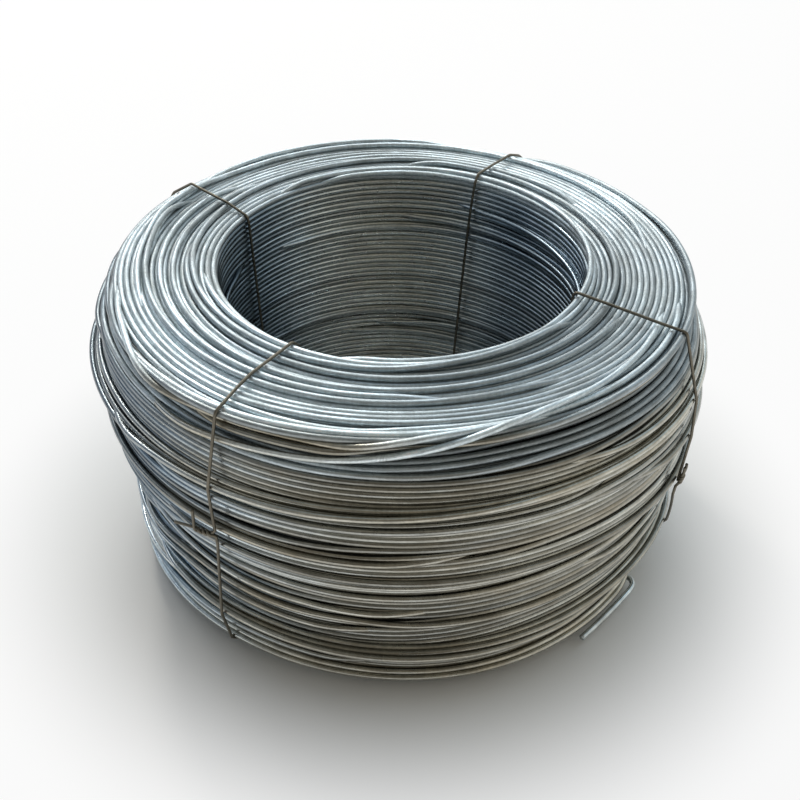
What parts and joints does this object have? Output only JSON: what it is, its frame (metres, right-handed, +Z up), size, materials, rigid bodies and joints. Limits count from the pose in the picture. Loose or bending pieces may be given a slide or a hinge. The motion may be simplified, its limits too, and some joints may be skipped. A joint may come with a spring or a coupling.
{
  "type": "coil of fencing wire",
  "caption": "Loose coil of galvanised high-tensile fencing wire lying on its end, tied with thin wire, with an open bore and a hooked free end.",
  "frame": {"origin": "on the coil's axis, in the plane of the foot that it rests on", "axes": "+Z up along the coil's axis; -Y towards the viewer of the picture, +X to their right"},
  "size_m": [0.252, 0.252, 0.1365],
  "materials": {
    "galvanised_wire": "bright galvanised, drawn smooth",
    "tie_wire": "dull annealed"
  },
  "bodies": {
    "root": {"wire_coil": "galvanised_wire", "tie_front_left": "tie_wire", "tie_back_left": "tie_wire", "tie_back_right": "tie_wire", "tie_front_right": "tie_wire"}
  },
  "joints": []
}
